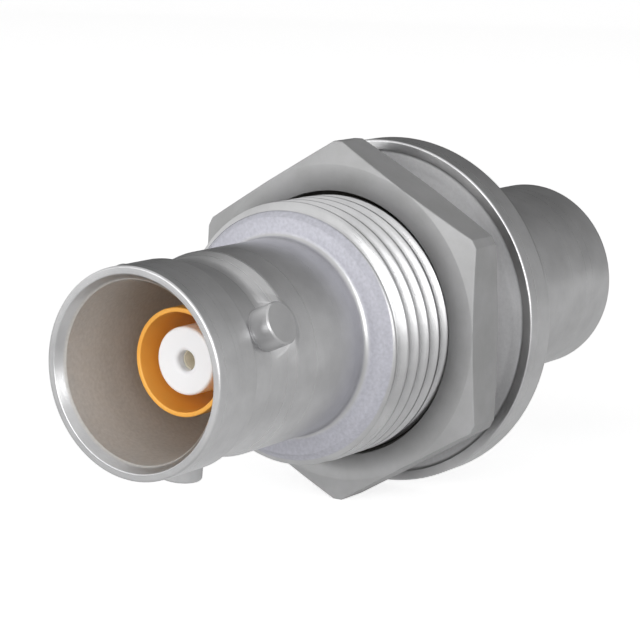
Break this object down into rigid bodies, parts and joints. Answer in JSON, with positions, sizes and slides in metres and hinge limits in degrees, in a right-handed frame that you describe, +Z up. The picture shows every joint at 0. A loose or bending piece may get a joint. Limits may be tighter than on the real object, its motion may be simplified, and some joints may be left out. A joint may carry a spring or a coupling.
{
  "type": "triaxial bulkhead jack",
  "caption": "Panel-mounted triaxial jack with a bayonet shell, threaded shank, hexagonal nut, round flange and smooth rear cable barrel.",
  "frame": {"origin": "where the connector's axis crosses the panel seat, the front of the flange's raised rim", "axes": "-Y along the axis out of the mouth, +Y towards the cable, +Z up with one corner of the nut up"},
  "size_m": [0.0174, 0.0355, 0.0178],
  "materials": {
    "nickel_plate": "satin nickel plate",
    "bright_nickel": "bright nickel plate",
    "gold_plate": "gold plate",
    "white_dielectric": "smooth white fluoropolymer",
    "plain_brass": "turned",
    "gasket_rubber": "moulded"
  },
  "bodies": {
    "jack": {"jack_body": "nickel_plate", "bayonet_lug_1": "nickel_plate", "bayonet_lug_2": "nickel_plate", "bayonet_lug_3": "nickel_plate", "front_outer_insulator": "white_dielectric", "intermediate_contact": "gold_plate", "inner_dielectric": "white_dielectric", "centre_contact": "gold_plate", "rear_inner_dielectric": "white_dielectric", "rear_outer_insulator": "white_dielectric", "inner_braid_ferrule": "plain_brass", "inner_clamp_nut": "plain_brass", "insulating_washer": "white_dielectric", "outer_braid_ferrule": "bright_nickel", "cable_gasket": "gasket_rubber"},
    "nut_washer": {"lock_washer": "bright_nickel"},
    "panel_nut": {"panel_nut": "nickel_plate"},
    "clamp_washer": {"clamp_washer": "bright_nickel"},
    "clamp_nut": {"rear_clamp_nut": "nickel_plate"}
  },
  "joints": [
    {"name": "nut_travel", "type": "slide", "parent": "jack", "child": "nut_washer", "axis": [0, 1, 0], "range_m": [-0.00363, 0.00163]},
    {"name": "nut_turn", "type": "hinge", "parent": "nut_washer", "child": "panel_nut", "pos_m": [0, 0, 0], "axis": [0, 1, 0], "range_deg": [-1440.01, 648.01]},
    {"name": "clamp_travel", "type": "slide", "parent": "jack", "child": "clamp_washer", "axis": [0, 1, 0], "range_m": [0, 0.00238]},
    {"name": "clamp_turn", "type": "hinge", "parent": "clamp_washer", "child": "clamp_nut", "pos_m": [0, 0.01372, 0], "axis": [0, 1, 0], "range_deg": [0, 1080.01]}
  ],
  "couplings": [
    {"joint": "nut_turn", "follows": "nut_travel", "rad_per_m": 6926.3},
    {"joint": "clamp_turn", "follows": "clamp_travel", "rad_per_m": 7915.8}
  ]
}
